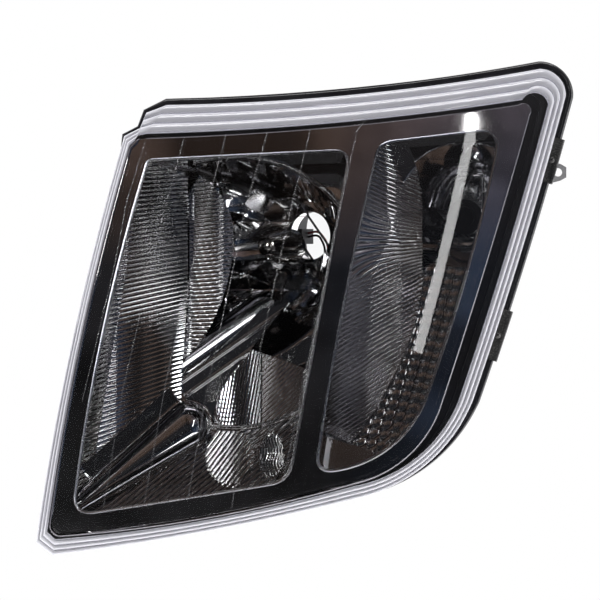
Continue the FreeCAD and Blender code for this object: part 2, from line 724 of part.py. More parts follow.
COVER_OPEN = FreeCAD.Rotation(Vector(1, 0, 0), 180)


def cover_point(x, y, z):
    """A point of the cover's frame: X along its hinge, Y towards its middle, as it hangs open."""
    offset = SEAT.multVec(COVER_OPEN.multVec(Vector(x, y, z)))
    hinge = seat_point(0, -COVER_REACH, HINGE_LEVEL)
    return (hinge[0] + offset.x, hinge[1] + offset.y, hinge[2] + offset.z)


def build_cover():
    """The rear cover: a lid with a spigot, a grip bar and a hinge barrel; it hangs from its hinge."""
    inside = -1.2
    hang = SEAT.multiply(COVER_OPEN)
    lid = rod("cover_disc", 62, 3, 0, COVER_REACH, inside, NO_TURN)
    spigot = cut("cover_spigot", rod("spigot_outer", 52, 5, 0, COVER_REACH, inside - 5, NO_TURN),
                 rod("spigot_inner", 49, 6, 0, COVER_REACH, inside - 6, NO_TURN))
    grip = brick("cover_grip", (56, 6, 9), -28, COVER_REACH - 3, 1.8)
    barrel = rod("cover_barrel", 3.6, 22, -11, 0, 0, ALONG_X)
    arm = brick("cover_arm", (22, 8, 3), -11, 0, inside)
    bore = rod("cover_bore", 1.5 + size("fit_gap"), 30, -15, 0, 0, ALONG_X)
    finish(cut("cover_cut", fuse("cover_solid", lid, spigot, grip, barrel, arm), bore), "rear_cover",
           *cover_point(0, 0, 0), turn=hang)
    seal = turned("cover_ring", (52, -3), (55.6, -3), (55.6, 0), (52, 0))
    finish(seal, "rear_cover_seal", *cover_point(0, COVER_REACH, inside), turn=hang)
    pin = turned("cover_pin", (0, 0), (1.5, 0), (1.5, 36), (0, 36))
    finish(pin, "cover_hinge_pin", *seat_point(-18, -COVER_REACH, HINGE_LEVEL), turn=SEAT.multiply(ALONG_X))


def build_wiring():
    """The wiring socket on the back of the housing: a shroud, its contacts and the loom inside."""
    shroud = cut("socket_shroud", brick("shroud_outer", (34, 26, 24), -57, SOCKET_Y, -140),
                 brick("shroud_room", (28, 20, 18), -54, SOCKET_Y + 7, -137))
    plug = rod("socket_plug", 8.9, 20, -40, SOCKET_Y - 19, -128)
    blades = [brick(f"contact_{index}", (1, 13, 6), -50 + 6.5 * index, SOCKET_Y + 7, -131)
              for index in range(4)]
    contacts = fuse("socket_contacts", *blades)
    finish(fuse("socket_solid", shroud, plug), "wiring_socket")
    finish(contacts, "socket_contacts")
    cap = turned("vent_cap", (2.95, -8), (0, -8), (0, 12), (8, 12), (8, -3), (7, -3), (7, 8), (2.95, 8))
    cap_place = (45, 124, 128)
    finish(cap, "breather_cap", *cap_place, turn=ALONG_Y)


LEAD_APART = 1.5
CONNECTOR_X = 40.6


def build_leads():
    """Side light leads: from the holder, across behind the bulb seat, to the connector in the neck."""
    x, y = SIDE_LIGHT
    for colour, side in (("red", -LEAD_APART), ("black", LEAD_APART)):
        route = ((x + side, y, 10.5),
                 (x + side, y - 1, 20),
                 (x - 1 + side, y + 6, 36),
                 (x + 2 + side, y + 25 - side, 47),
                 (x + 12, y + 36 - side, 49),
                 (CONNECTOR_X - 0.4, y + 34 - side, 46))
        lead = tube("lead_" + colour, [lamp_vector(seat_point(*point)) for point in route], 0.9)
        finish(lead, f"side_light_lead_{colour}")
    place = seat_point(CONNECTOR_X, -6, 38)
    finish(brick("lead_block", (14, 12, 16), *place, SEAT), "side_light_connector", *place, turn=SEAT)


def build_fixings():
    hole = 3.3
    tab = document.addObject("PartDesign::Body", "side_tab_body")
    outline = ((-19, -12), (2, -6.5), (6.5, -4), (6.5, 4), (2, 6.5), (-19, 12))
    sketch = body_sketch(tab, "side_tab_profile", "XY_Plane", outline)
    pad = tab.newObject("PartDesign::Pad", "side_tab_pad")
    pad.Profile = sketch
    bind(pad, "Length", 4)
    wall = body_sketch(tab, "side_tab_wall", "XY_Plane", ((-19, -12), (-15.5, -12), (-15.5, 12), (-19, 12)))
    rise = tab.newObject("PartDesign::Pad", "side_tab_rise")
    rise.Profile = wall
    bind(rise, "Length", 32)
    tab_holes = tab
    document.recompute()
    screw_level = TAB_SCREW_Y - size("datum_y").number + 2
    whole = cut("side_tab_cut", tab_holes,
                rod("side_tab_hole", hole, 10, 0, 0, -3, NO_TURN),
                rod("side_tab_screw_hole", 2.3, 10, -22, 0, screw_level, ALONG_X))
    finish(whole, "side_fixing_tab", size("datum_x"), size("datum_y") - 2, size("datum_z"), turn=ALONG_Y)
    screw = turned("tab_screw", (0, -18), (1.9, -18), (1.9, 0), (4.5, 0), (4.5, 2.5), (0, 2.5))
    finish(screw, "side_tab_screw", size("datum_x") - 15.4, TAB_SCREW_Y, size("datum_z"), turn=ALONG_X)
    sleeves = [cut(name + "_sleeve", rod(name + "_sleeve_outer", 6, 15.5, x, back - 15.5, z),
                   rod(name + "_sleeve_hole", 3.25, 20, x, back - 17, z)) for name, x, z, start, back in LUGS]
    finish(fuse("sleeves", *sleeves), "fixing_sleeves")
    for name, x, z in (("upper", 199.5, 128), ("lower", 156, -22)):
        clip = padded(name + "_clip", 24, (-3, -12), (1.6, -12), (1.6, 17), (-7, 17), (-7, 15.6), (0.2, 15.6),
                      (0.2, -10.6), (-3, -10.6))
        lean = FreeCAD.Rotation(Vector(0, 1, 0), 16)
        finish(clip, f"{name}_lens_clip", x, 0, z - 12, turn=lean)


build_lens()
build_seal()
build_housing()
build_bezel()
build_main_reflector()
build_indicator_reflector()
build_clip()
build_shield()
build_side_light()
build_pivot()
build_levelling()
build_swivel()
build_indicator_holder()
build_cover()
build_wiring()
build_leads()
build_fixings()
document.recompute()

# ---------------------------------------------------------------- checks and files

failed = [item.Name for item in document.Objects if "Invalid" in item.State or "Error" in item.State]
if failed:
    raise RuntimeError(f"did not build: {failed}")
for item in finished:
    if item.Shape.isNull() or not item.Shape.isValid() or not item.Shape.Solids:
        raise RuntimeError(f"{item.Label} is not a valid solid")

os.makedirs("parts", exist_ok=True)
for item in finished:
    item.Shape.exportStep(f"parts/{item.Label}.step")
print(len(finished), "sub-parts written")
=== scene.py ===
import math

import bmesh
import bpy
import numpy as np
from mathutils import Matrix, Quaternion, Vector


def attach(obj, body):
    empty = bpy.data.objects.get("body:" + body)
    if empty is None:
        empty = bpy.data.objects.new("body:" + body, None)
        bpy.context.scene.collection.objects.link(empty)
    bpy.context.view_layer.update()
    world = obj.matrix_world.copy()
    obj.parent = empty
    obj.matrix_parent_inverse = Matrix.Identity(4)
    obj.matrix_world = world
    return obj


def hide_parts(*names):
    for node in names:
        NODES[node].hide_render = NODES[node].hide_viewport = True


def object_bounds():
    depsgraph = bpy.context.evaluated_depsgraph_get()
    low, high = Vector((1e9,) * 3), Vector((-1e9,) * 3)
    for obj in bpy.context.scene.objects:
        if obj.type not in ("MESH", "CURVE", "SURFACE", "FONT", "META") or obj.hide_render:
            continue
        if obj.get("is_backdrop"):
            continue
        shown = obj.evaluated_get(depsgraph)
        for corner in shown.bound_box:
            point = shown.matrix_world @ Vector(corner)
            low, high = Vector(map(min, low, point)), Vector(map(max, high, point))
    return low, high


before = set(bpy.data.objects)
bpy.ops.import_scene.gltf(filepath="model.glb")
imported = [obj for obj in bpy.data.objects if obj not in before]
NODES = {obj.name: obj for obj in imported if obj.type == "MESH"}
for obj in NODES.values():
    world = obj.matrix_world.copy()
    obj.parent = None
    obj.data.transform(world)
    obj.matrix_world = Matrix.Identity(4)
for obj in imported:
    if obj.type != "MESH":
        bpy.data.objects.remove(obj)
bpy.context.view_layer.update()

# The lamp is laid out in lamp millimetres: x to the outer side, y rearwards, z up, flange plane at y = 0.
# The CAD frame's origin is the side tab's hole, which lies at this place in lamp millimetres.
DATUM = np.array((202.0, 18.0, 100.0))
MM = 0.001


def to_world(points):
    return (np.asarray(points, dtype=float) - DATUM) * MM


def at(x, y, z):
    return Vector(to_world((x, y, z)))


# ---------------------------------------------------------------- sizes shared with the CAD

LENS_EDGE = {
    "step_low": (-136, 127), "step_in": (-124, 133), "step_out": (-119, 145), "step_top": (-103, 151),
    "brow": (40, 159), "brow_end": (187, 180), "crest": (201, 174), "cheek_top": (207, 159),
    "cheek": (168, 25), "cheek_end": (134, -78), "jaw": (110, -116), "jaw_end": (43, -154),
    "chin": (-77, -180),
    "chin_end": (-192, -198), "toe": (-205, -188), "inner": (-176, -30)}
TRIM_EDGE = {
    "step_low": (-131, 118), "step_in": (-128.5, 121), "step_out": (-126, 124), "step_top": (-120, 124.5),
    "brow": (35, 134), "brow_end": (170, 151), "crest": (177, 151), "cheek_top": (178, 144),
    "cheek": (143, 25), "cheek_end": (110, -78), "jaw": (90, -114), "jaw_end": (42, -142),
    "chin": (-75, -169),
    "chin_end": (-189, -183), "toe": (-194, -178), "inner": (-168, -30)}
BALL_RADIUS = 1100
CROWN_X = -60
LENS_RISE = 80
WINDOW_BACK = 32
TRIM_RISE = 68
LOOK = math.radians(35)
SEAT = (13, 104, 51)
SEAT_HOLE = 19
SIGNAL_SEAT = (129.5, 50, 65.5)
SIGNAL_HOLE = 14


def ball_y(x, z, rise):
    """Depth of the lamp's curved front: a ball that stands a rise in front of the flange plane."""
    return BALL_RADIUS - rise - np.sqrt(BALL_RADIUS ** 2 - (x - CROWN_X) ** 2 - z ** 2)


# ---------------------------------------------------------------- outlines

def arc_points(start, middle, end, count=28):
    """Points along the arc through three places, without its start."""
    (ax, az), (bx, bz), (cx, cz) = start, middle, end
    d = 2 * (ax * (bz - cz) + bx * (cz - az) + cx * (az - bz))
    a2, b2, c2 = ax * ax + az * az, bx * bx + bz * bz, cx * cx + cz * cz
    ux = (a2 * (bz - cz) + b2 * (cz - az) + c2 * (az - bz)) / d
    uz = (a2 * (cx - bx) + b2 * (ax - cx) + c2 * (bx - ax)) / d
    radius = math.hypot(ax - ux, az - uz)
    first = math.atan2(az - uz, ax - ux)
    turn = math.atan2(cz - uz, cx - ux) - first
    half = math.atan2(bz - uz, bx - ux) - first
    turn = (turn + math.pi) % (2 * math.pi) - math.pi
    half = (half + math.pi) % (2 * math.pi) - math.pi
    if turn * half < 0:
        turn -= math.copysign(2 * math.pi, turn)
    angles = [first + turn * i / count for i in range(1, count + 1)]
    return [(ux + radius * math.cos(angle), uz + radius * math.sin(angle)) for angle in angles]


def trace(start, path):
    """A closed outline from its start: each step is an end point, or the middle and end of an arc."""
    points = [start]
    for step in path:
        if len(step) == 1:
            points.append(step[0])
        else:
            points += arc_points(points[-1], step[0], step[1])
    if math.dist(points[0], points[-1]) < 0.01:
        points.pop()
    return points


def round_corners(points, radius, limit=20, count=10):
    """Rounds each corner sharper than the limit; radius is one size or a function of the corner."""
    dense, corners = [], []
    total = len(points)
    for i, here in enumerate(points):
        a, p, b = Vector(points[i - 1]), Vector(here), Vector(points[(i + 1) % total])
        turn = (p - a).angle(b - p)
        if math.degrees(turn) > limit:
            size = radius(here) if callable(radius) else radius
            corners.append((len(dense), int(max(1, round(size * math.tan(turn / 2))))))
        pieces = max(1, int(round((b - p).length)))
        dense += [tuple(p.lerp(b, k / pieces)) for k in range(pieces)]
    total = len(dense)
    dropped, added = set(), {}
    for corner, reach in corners:
        first, p = Vector(dense[corner - reach]), Vector(dense[corner])
        last = Vector(dense[(corner + reach) % total])
        dropped |= {(corner + k) % total for k in range(-reach, reach + 1)}
        added[corner] = [tuple(first * (1 - t) ** 2 + p * 2 * t * (1 - t) + last * t ** 2)
                         for t in (k / count for k in range(count + 1))]
    result = []
    for i, here in enumerate(dense):
        if i in added:
            result += added[i]
        elif i not in dropped:
            result.append(here)
    return result


def edge_at(name, inset):
    lens, trim = LENS_EDGE[name], TRIM_EDGE[name]
    share = inset(name) if callable(inset) else inset
    return (lens[0] + (trim[0] - lens[0]) * share, lens[1] + (trim[1] - lens[1]) * share)


def lamp_outline(inset=0):
    """The lamp's outline: inset 0 is the lens edge and 1 the edge of the trim panel."""
    steps = (("step_in",), ("step_out",), ("step_top",), ("brow", "brow_end"), ("crest", "cheek_top"),
             ("cheek", "cheek_end"), ("jaw", "jaw_end"), ("chin", "chin_end"), ("toe",),
             ("inner", "step_low"))
    path = [tuple(edge_at(name, inset) for name in step) for step in steps]
    return trace(edge_at("step_low", inset), path)


def main_window(grow=0):
    points = {"top_in": (-118, 109, -1, 1), "top_out": (40, 117, 1, 1), "low_out": (-8, -141, 1, -1),
              "low_in": (-177, -168, -1, -1), "side": (-155, -35, -1, 0)}
    p = {name: (x + grow * a, z + grow * b) for name, (x, z, a, b) in points.items()}
    corners = trace(p["top_in"], [(p["top_out"],), (p["low_out"],), (p["low_in"],), (p["side"], p["top_in"])])
    sizes = {p["top_out"]: 12, p["low_out"]: 22, p["low_in"]: 14}
    return round_corners(corners, lambda c: sizes.get((c[0], c[1]), 6), count=10)


def signal_window(grow=0):
    points = {"top_in": (60, 120, -0.8, 1), "brow": (70, 123.5, 0, 1), "top_out": (157, 134, 1, 1),
              "cheek": (125, 4, 1, 0), "jaw": (97, -80, 1, -0.3), "sweep": (68, -116, 0.7, -0.7),
              "low_out": (24, -133, 0.3, -1), "low_in": (11, -135, -1, -1), "left": (29, -25, -1, 0)}
    p = {name: (x + grow * a, z + grow * b) for name, (x, z, a, b) in points.items()}
    corners = trace(p["top_in"], [(p["brow"],), (p["top_out"],), (p["cheek"], p["jaw"]),
                                  (p["sweep"], p["low_out"]), (p["low_in"],), (p["left"], p["top_in"])])
    sizes = {p["top_in"]: 12, p["brow"]: 10, p["top_out"]: 16, p["low_in"]: 12, p["low_out"]: 30}
    return round_corners(corners, lambda c: sizes.get((c[0], c[1]), 6), count=10)


def inside(outline, x, z):
    """Which of the places x, z lie inside a closed outline."""
    result = np.zeros(np.shape(x), dtype=bool)
    for i, (ax, az) in enumerate(outline):
        bx, bz = outline[i - 1]
        if az == bz:
            continue
        crosses = (az > z) != (bz > z)
        result ^= crosses & (x < (bx - ax) * (z - az) / (bz - az) + ax)
    return result


# ---------------------------------------------------------------- mesh makers

def make(name, points, faces, material, body="housing", smooth=40, slot=None, replaces=()):
    """One finished piece from lamp millimetres."""
    mesh = bpy.data.meshes.new(name)
    mesh.from_pydata(to_world(points).tolist(), [], faces)
    mesh.update()
    clean = bmesh.new()
    clean.from_mesh(mesh)
    bmesh.ops.recalc_face_normals(clean, faces=clean.faces)
    clean.to_mesh(mesh)
    clean.free()
    mesh.shade_smooth()
    mesh.set_sharp_from_angle(angle=math.radians(smooth))
    item = bpy.data.objects.new(name, mesh)
    bpy.context.scene.collection.objects.link(item)
    item.data.materials.append(material)
    if replaces:
        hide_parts(*replaces)
    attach(item, body)
    return item


def loop_faces(rows, width, closed=True):
    """Quads between rows of a lattice of points, each row a closed loop of the given width."""
    faces = []
    for r in range(rows - 1):
        for c in range(width if closed else width - 1):
            d = (c + 1) % width
            faces.append((r * width + c, r * width + d, (r + 1) * width + d, (r + 1) * width + c))
    return faces


def loft(loops, close=False):
    """Points and faces through loops of equal length; close joins the last loop to the first."""
    width = len(loops[0])
    points = [p for loop in loops for p in loop]
    faces = loop_faces(len(loops), width)
    if close:
        base = (len(loops) - 1) * width
        for c in range(width):
            d = (c + 1) % width
            faces.append((base + c, base + d, d, c))
    return points, faces


def outward(outline):
    """Unit normals of a closed outline, pointing away from its inside."""
    area = sum(a[0] * b[1] - b[0] * a[1] for a, b in zip(outline, outline[1:] + outline[:1]))
    side = 1 if area > 0 else -1
    normals = []
    for i in range(len(outline)):
        a, b = Vector(outline[i - 1]), Vector(outline[(i + 1) % len(outline)])
        along = (b - a).normalized()
        normals.append((along[1] * side, -along[0] * side))
    return normals


def sweep(name, outline, profile, material, rise=TRIM_RISE, closed=True, stop=10.0, **options):
    """A moulding run round an outline: (out, back) from the curved front, back as far as the stop."""
    normals = outward(outline)
    loops = []
    for out, back in profile:
        loops.append([(x + nx * out, min(ball_y(x, z, rise) + back, stop), z + nz * out)
                      for (x, z), (nx, nz) in zip(outline, normals)])
    points, faces = loft(loops, close=closed)
    return make(name, points, faces, material, **options)


def revolve(profile, place, axes, count=48, arc=1.0):
    """Points and faces of a turned shape: profile is (radius, along) about axes (across, up, along)."""
    across, up, along = (np.array(v, dtype=float) for v in axes)
    base = np.array(place, dtype=float)
    loops = []
    for radius, height in profile:
        loop = []
        for i in range(count):
            angle = 2 * math.pi * arc * i / count
            p = base + across * radius * math.cos(angle) + up * radius * math.sin(angle) + along * height
            loop.append(tuple(p))
        loops.append(loop)
    return loft(loops)


def fill_face(outer, holes, depth, step, name, material, **options):
    """A curved panel with holes: a flat filling cut fine, then laid on the surface depth(x, z)."""
    work = bmesh.new()
    edges = []
    for outline in [outer, *holes]:
        verts = [work.verts.new((x, z, 0)) for x, z in outline]
        edges += [work.edges.new((a, b)) for a, b in zip(verts, verts[1:] + verts[:1])]
    bmesh.ops.triangle_fill(work, edges=edges, use_beauty=True, use_dissolve=False)
    for _ in range(6):
        long_edges = [e for e in work.edges if not e.is_boundary and e.calc_length() > step]
        if not long_edges:
            break
        bmesh.ops.subdivide_edges(work, edges=long_edges, cuts=1)
        bmesh.ops.triangulate(work, faces=work.faces[:])
        bmesh.ops.beautify_fill(work, faces=work.faces[:], edges=[e for e in work.edges if not e.is_boundary])
    work.verts.ensure_lookup_table()
    work.verts.index_update()
    points = [(v.co.x, float(depth(v.co.x, v.co.y)), v.co.y) for v in work.verts]
    faces = [tuple(v.index for v in f.verts) for f in work.faces]
    work.free()
    return make(name, points, faces, material, **options)


def height_field(name, outline, depth, step, material, **options):
    """A fine grid cut to an outline and laid on the surface depth(x, z)."""
    xs = np.array([p[0] for p in outline])
    zs = np.array([p[1] for p in outline])
    x = np.arange(xs.min(), xs.max() + step[0], step[0])
    z = np.arange(zs.min(), zs.max() + step[1], step[1])
    gx, gz = np.meshgrid(x, z)
    y, keep = depth(gx, gz)
    keep &= inside(outline, gx, gz)
    cells = keep[:-1, :-1] & keep[1:, :-1] & keep[:-1, 1:] & keep[1:, 1:]
    width = len(x)
    rows, cols = np.nonzero(cells)
    first = rows * width + cols
    faces = np.stack([first, first + 1, first + 1 + width, first + width], axis=1)
    used, faces = np.unique(faces, return_inverse=True)
    points = np.stack([gx.ravel(), y.ravel(), gz.ravel()], axis=1)[used]
    return make(name, points.tolist(), faces.reshape(-1, 4).tolist(), material, **options)


# ---------------------------------------------------------------- materials

def new_material(name):
    material = bpy.data.materials.new(name)
    material.use_nodes = True
    tree = material.node_tree
    return material, tree.nodes, tree.links, tree.nodes["Principled BSDF"]


def noise(nodes, links, scale, detail=4.0, stretch=(1, 1, 1)):
    place = nodes.new("ShaderNodeTexCoord")
    mapping = nodes.new("ShaderNodeMapping")
    mapping.inputs["Scale"].default_value = stretch
    texture = nodes.new("ShaderNodeTexNoise")
    texture.inputs["Scale"].default_value = scale
    texture.inputs["Detail"].default_value = detail
    links.new(place.outputs["Object"], mapping.inputs["Vector"])
    links.new(mapping.outputs["Vector"], texture.inputs["Vector"])
    return texture.outputs["Fac"]


def ramp(nodes, links, source, low, high, start=0.3, end=0.7):
    blend = nodes.new("ShaderNodeValToRGB")
    blend.color_ramp.elements[0].position = start
    blend.color_ramp.elements[0].color = (*low, 1) if isinstance(low, tuple) else (low, low, low, 1)
    blend.color_ramp.elements[1].position = end
    blend.color_ramp.elements[1].color = (*high, 1) if isinstance(high, tuple) else (high, high, high, 1)
    links.new(source, blend.inputs["Fac"])
    return blend.outputs["Color"]


def bump(nodes, links, source, shader, strength, distance):
    relief = nodes.new("ShaderNodeBump")
    relief.inputs["Strength"].default_value = strength
    relief.inputs["Distance"].default_value = distance
    links.new(source, relief.inputs["Height"])
    links.new(relief.outputs["Normal"], shader.inputs["Normal"])


def plastic(name, dark, light, rough=(0.35, 0.5), grain=900, relief=0.00004, metallic=0.0, coat=0.0):
    """Moulded plastic, rubber or metal: two shades in broad noise, a fine grain and uneven gloss."""
    material, nodes, links, shader = new_material(name)
    broad = noise(nodes, links, 38)
    fine = noise(nodes, links, grain, 3)
    links.new(ramp(nodes, links, broad, dark, light), shader.inputs["Base Color"])
    links.new(ramp(nodes, links, fine, rough[0], rough[1]), shader.inputs["Roughness"])
    shader.inputs["Metallic"].default_value = metallic
    shader.inputs["Coat Weight"].default_value = coat
    bump(nodes, links, fine, shader, 0.5, relief)
    return material


def chrome(name, dark, light, rough=(0.03, 0.07), relief=0.00002, scale=60):
    """Metallised plastic: a bright skin with faint ripples and patches of slightly softer gloss."""
    material, nodes, links, shader = new_material(name)
    broad = noise(nodes, links, scale, 3)
    links.new(ramp(nodes, links, broad, dark, light), shader.inputs["Base Color"])
    links.new(ramp(nodes, links, noise(nodes, links, 22, 5), rough[0], rough[1]), shader.inputs["Roughness"])
    shader.inputs["Metallic"].default_value = 1.0
    bump(nodes, links, broad, shader, 0.15, relief)
    return material


def clear(name, tint, body, gloss=1.0, ior=1.5, haze=0.02):
    """Clear plastic: light passes straight through, and the surface mirrors by its Fresnel share; a diffuse
    body colour, its share growing towards grazing angles, is painted light for the backdrop light that the
    plastic refracts.
    """
    material, nodes, links, shader = new_material(name)
    nodes.remove(shader)
    output = nodes["Material Output"]
    through = nodes.new("ShaderNodeBsdfTransparent")
    streaks = noise(nodes, links, 14, 3)
    paler = tuple(min(1, c * 1.02) for c in tint)
    links.new(ramp(nodes, links, streaks, tint, paler), through.inputs["Color"])
    # painted light: a plain diffuse colour mixed in for the backdrop light refracted through the plastic,
    # more at grazing angles
    painted_refracted_light = nodes.new("ShaderNodeBsdfDiffuse")
    painted_refracted_light.inputs["Color"].default_value = (*body[0], 1)
    clear_and_painted_light = nodes.new("ShaderNodeMixShader")
    edge = nodes.new("ShaderNodeLayerWeight")
    edge.inputs["Blend"].default_value = 0.35
    share = nodes.new("ShaderNodeMapRange")
    share.inputs["To Min"].default_value = body[1]
    share.inputs["To Max"].default_value = body[2]
    links.new(edge.outputs["Facing"], share.inputs["Value"])
    links.new(share.outputs["Result"], clear_and_painted_light.inputs["Fac"])
    links.new(through.outputs["BSDF"], clear_and_painted_light.inputs[1])
    links.new(painted_refracted_light.outputs["BSDF"], clear_and_painted_light.inputs[2])
    mirror = nodes.new("ShaderNodeBsdfGlossy")
    mirror.inputs["Roughness"].default_value = haze
    mirror.inputs["Color"].default_value = (gloss, gloss, gloss, 1)
    fresnel = nodes.new("ShaderNodeFresnel")
    fresnel.inputs["IOR"].default_value = ior
    mix = nodes.new("ShaderNodeMixShader")
    links.new(fresnel.outputs["Fac"], mix.inputs["Fac"])
    links.new(clear_and_painted_light.outputs["Shader"], mix.inputs[1])
    links.new(mirror.outputs["BSDF"], mix.inputs[2])
    links.new(mix.outputs["Shader"], output.inputs["Surface"])
    return material


BLACK = plastic("moulded_black", (0.006, 0.006, 0.007), (0.016, 0.016, 0.018))
GLOSS_BLACK = plastic("gloss_black", (0.004, 0.004, 0.005), (0.012, 0.012, 0.014), rough=(0.12, 0.22))
RUBBER = plastic("soft_rubber", (0.008, 0.008, 0.008), (0.02, 0.02, 0.02), rough=(0.6, 0.8))
SEALANT = plastic("sealant_bead", (0.02, 0.02, 0.022), (0.05, 0.05, 0.052), rough=(0.5, 0.7), grain=300)
NYLON = plastic("moulded_nylon", (0.55, 0.53, 0.47), (0.68, 0.66, 0.6), rough=(0.4, 0.55))
TAB_GREY = plastic("tab_plastic", (0.2, 0.2, 0.205), (0.3, 0.3, 0.305), rough=(0.3, 0.45), grain=500)
STEEL = plastic("plated_steel", (0.42, 0.41, 0.38), (0.6, 0.59, 0.56), rough=(0.22, 0.38), metallic=1.0)
SPRING = plastic("spring_wire", (0.1, 0.1, 0.1), (0.2, 0.2, 0.2), rough=(0.2, 0.35), metallic=1.0)
BRASS = plastic("tinned_brass", (0.5, 0.4, 0.2), (0.7, 0.6, 0.36), rough=(0.2, 0.35), metallic=1.0)
RED = plastic("red_insulation", (0.3, 0.012, 0.012), (0.45, 0.02, 0.018), rough=(0.35, 0.5))
CLIP = plastic("coated_clip", (0.02, 0.02, 0.02), (0.07, 0.068, 0.064), rough=(0.18, 0.32), metallic=0.6)
CHROME = chrome("reflector_skin", (0.78, 0.78, 0.79), (0.88, 0.88, 0.88))
SHIELD = chrome("shield_skin", (0.84, 0.83, 0.82), (0.92, 0.91, 0.9), rough=(0.07, 0.12))
# the nose is the shield's chrome made darker and warmer: painted shade for the dark room its front mirrors
NOSE_SHADE = chrome("shield_nose_painted_shade", (0.55, 0.52, 0.5), (0.66, 0.63, 0.6), rough=(0.05, 0.09))
TRIM = chrome("trim_skin", (0.62, 0.6, 0.6), (0.72, 0.7, 0.7), rough=(0.03, 0.06))
# the window lips are the trim's chrome made lighter, so their edges always read bright: a painted highlight
TRIM_LIP_HIGHLIGHT = chrome("trim_lip_painted_highlight", (0.8, 0.8, 0.82), (0.92, 0.92, 0.94), rough=(0.2, 0.3))
# the body colours of these clear materials are painted light refracted through the plastic; the skirt's pale
# lavender takes the largest share
LENS = clear("lens_plastic", (0.96, 0.965, 0.97), ((0.8, 0.82, 0.86), 0.0, 0.25))
SKIRT = clear("lens_skirt", (0.86, 0.86, 0.9), ((0.86, 0.86, 0.93), 0.28, 0.85))
OPTIC_LINE = clear("lens_line", (0.8, 0.8, 0.82), ((0.7, 0.7, 0.74), 0.05, 0.2), haze=0.12)
# the steps' dark grey tint and body are painted shade: the dark lines that the clear skirt's steps show
SKIRT_STEP_SHADE = clear("lens_step", (0.42, 0.42, 0.46), ((0.42, 0.42, 0.5), 0.2, 0.5))
GLASS = clear("bulb_glass", (0.9, 0.9, 0.9), ((0.8, 0.8, 0.8), 0.0, 0.3), haze=0.01)

CAD_LOOKS = {
    "housing": BLACK, "lens_cover": LENS, "lens_seal": SEALANT, "bezel": TRIM, "main_reflector": CHROME,
    "indicator_reflector": CHROME, "bulb_clip": SPRING, "glare_shield": SHIELD,
    "glare_shield_stalk": SHIELD, "side_light_holder": BLACK, "side_light_bulb": GLASS,
    "pivot_ball_stud": NYLON, "pivot_ball_socket": NYLON, "lift_ball_socket": NYLON,
    "swivel_ball_socket": NYLON, "levelling_push_rod": NYLON, "levelling_motor": BLACK,
    "vertical_aim_screw": NYLON, "horizontal_aim_rod": STEEL, "horizontal_aim_screw": NYLON,
    "indicator_holder": BLACK, "indicator_holder_seal": RUBBER, "rear_cover": BLACK,
    "rear_cover_seal": RUBBER, "cover_hinge_pin": STEEL, "wiring_socket": BLACK, "socket_contacts": BRASS,
    "breather_cap": RUBBER, "side_light_lead_red": RED, "side_light_lead_black": GLOSS_BLACK,
    "side_light_connector": BLACK, "side_fixing_tab": TAB_GREY, "side_tab_screw": STEEL,
    "fixing_sleeves": STEEL, "upper_lens_clip": GLOSS_BLACK, "lower_lens_clip": GLOSS_BLACK}
for node, look in CAD_LOOKS.items():
    NODES[node].data.materials.clear()
    NODES[node].data.materials.append(look)


# ---------------------------------------------------------------- lens

FACE_INSET = {"crest": 0.62, "cheek_top": 0.5, "cheek": 0.48, "cheek_end": 0.48, "jaw": 0.6}


def face_inset(name):
    return FACE_INSET.get(name, 0.86)


def skirt_share(amount):
    return lambda name: face_inset(name) * amount


def lens_loop(amount, rise):
    outline = lamp_outline(skirt_share(amount))
    return [(x, float(ball_y(x, z, rise)), z) for x, z in outline]


TERRACES = ((0.0, 0.05, 0.27), (0.33, 0.38, 0.60), (0.66, 0.71, 0.93))


def build_lens():
    """The clear cover: a smooth face inside a skirt of rounded terraces, and the steps between them."""
    rise = 58
    below = [(x, -1.0, z) for x, z in lamp_outline(0)]
    for index, (start, crown, end) in enumerate(TERRACES):
        step = lens_loop(start, rise + 3)
        points, faces = loft([below, step] if index == 0 else [lens_loop(start - 0.06, rise - 1.5), step])
        # each step takes the darkened step material, painted shade along the skirt's lines
        make(f"lens_step_{index + 1}", points, faces, SKIRT_STEP_SHADE, slot="lens_clear")
        points, faces = loft([step, lens_loop(crown, rise + 4.6), lens_loop((crown + end) / 2, rise + 5.2),
                              lens_loop(end, rise + 5)])
        make(f"lens_terrace_{index + 1}", points, faces, SKIRT, slot="lens_clear", smooth=60)
        rise += 6.5
    points, faces = loft([lens_loop(0.93, rise - 1.5), lens_loop(0.97, LENS_RISE - 0.8),
                          lens_loop(1.0, LENS_RISE)])
    make("lens_step_4", points, faces, SKIRT_STEP_SHADE, slot="lens_clear", smooth=60)
    outline = lamp_outline(face_inset)
    middle = (-10.0, -10.0)
    rings = 26
    loops = []
    for ring in range(rings):
        share = 1 - ring / rings
        loops.append([(middle[0] + (x - middle[0]) * share, 0, middle[1] + (z - middle[1]) * share)
                      for x, z in outline])
    loops = [[(x, ball_y(x, z, LENS_RISE), z) for x, _, z in loop] for loop in loops]
    points, faces = loft(loops)
    tip = len(points)
    points.append((middle[0], float(ball_y(middle[0], middle[1], LENS_RISE)), middle[1]))
    start = (rings - 1) * len(outline)
    for c in range(len(outline)):
        faces.append((start + c, start + (c + 1) % len(outline), tip))
    make("lens_face", points, faces, LENS, slot="lens_clear", replaces=("lens_cover",))


build_lens()

OPTIC_LINES = (
    ((-119, 123), (-133, 78), (-144, 21), (-168, -78)),
    ((-89, 126), (-106, 63), (-137, -71), (-152, -161)),
    ((-57, 128), (-76, 55), (-103, -61), (-121, -161)),
    ((-25, 129), (-40, 78), (-72, -71), (-87, -156)),
    ((8, 131), (-7, 70), (-38, -71), (-53, -161)),
    ((67, 158), (44, 131), (16, 0), (-13, -140)))


